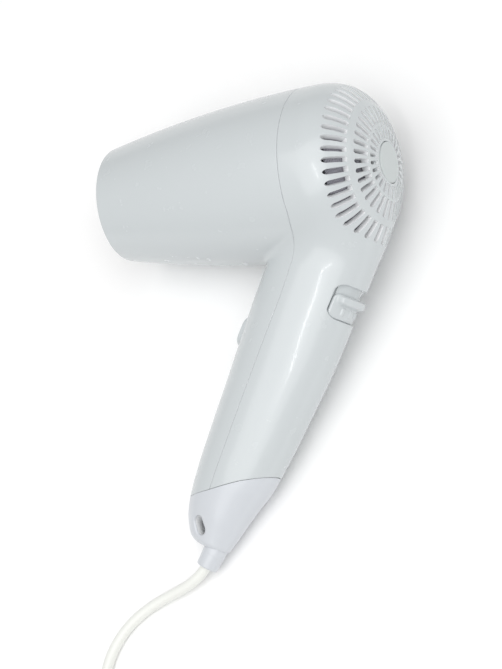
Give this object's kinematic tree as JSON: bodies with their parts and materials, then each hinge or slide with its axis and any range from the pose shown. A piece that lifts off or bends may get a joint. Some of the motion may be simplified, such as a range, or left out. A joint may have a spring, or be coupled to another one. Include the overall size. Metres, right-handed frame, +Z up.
{
  "type": "hair dryer",
  "caption": "Handheld hair dryer with a tapered barrel, slotted rear dome, leaning handle with thumb slide and front button, hanging eye, and a coiled mains lead with a two-pin plug.",
  "frame": {"origin": "centre of the dryer's own bounding box in plan, without the lead and plug, on the table it lies on", "axes": "+Z up from the table, which is the dryer's left side; -X the way the barrel blows; -Y towards the handle's end"},
  "size_m": [0.1677, 0.3754, 0.0899],
  "materials": {
    "shell": "glossy white moulded ABS",
    "badge": "satin light grey moulding",
    "black_plastic": "heat-resistant black moulding",
    "filter_mesh": "fine grey woven lint screen",
    "mica": "pressed mica sheet",
    "heat_wire": "oxidised resistance wire",
    "steel": "zinc-plated steel",
    "brass": "turned brass",
    "circuit": "paper-backed circuit laminate",
    "fan_plastic": "satin moulded fan",
    "cord": "cream flexible PVC",
    "wire_red": "brown wire sleeve",
    "wire_blue": "blue wire sleeve"
  },
  "bodies": {
    "housing": {"front_shell": "shell", "rear_shell": "shell", "end_cap": "shell", "grille_badge": "badge", "lint_filter": "filter_mesh", "motor_can": "steel", "motor_end": "black_plastic", "fan_shroud": "black_plastic", "outlet_grille": "black_plastic", "heat_shield": "mica", "shield_ring": "black_plastic", "heater_board_flat": "mica", "heater_board_cross": "mica", "heater_coil_low": "heat_wire", "heater_coil_high": "heat_wire", "thermostat": "fan_plastic", "thermal_fuse": "steel", "switch_plate": "shell", "switch_body": "black_plastic", "micro_switch": "black_plastic", "circuit_board": "circuit", "capacitor": "wire_blue", "diode_1": "black_plastic", "diode_2": "black_plastic", "diode_3": "black_plastic", "wire_live": "wire_red", "wire_neutral": "wire_blue", "cord_tail": "cord", "cord_clamp": "fan_plastic", "clamp_screw_left": "steel", "clamp_screw_right": "steel", "strain_relief": "shell", "cord_lead": "cord", "cord_coil": "cord", "cord_end": "cord", "coil_tie": "cord", "plug_body": "cord", "plug_pin_left": "brass", "plug_pin_right": "brass"},
    "rotor": {"fan": "fan_plastic", "motor_shaft": "steel", "motor_rotor": "heat_wire"},
    "slider": {"slide_knob": "shell"},
    "button": {"push_button": "shell"}
  },
  "joints": [
    {"name": "fan_spin", "type": "hinge", "parent": "housing", "child": "rotor", "pos_m": [0.0369, 0.07588, 0.04476], "axis": [0.9976, 0, 0.0698], "continuous": true},
    {"name": "heat_slide", "type": "slide", "parent": "housing", "child": "slider", "axis": [0.4272, 0.887, 0.1755], "range_m": [0, 0.005]},
    {"name": "button_press", "type": "slide", "parent": "housing", "child": "button", "axis": [0.9015, -0.4326, -0.008], "range_m": [0, 0.0022], "stiffness_N_per_m": 400}
  ]
}
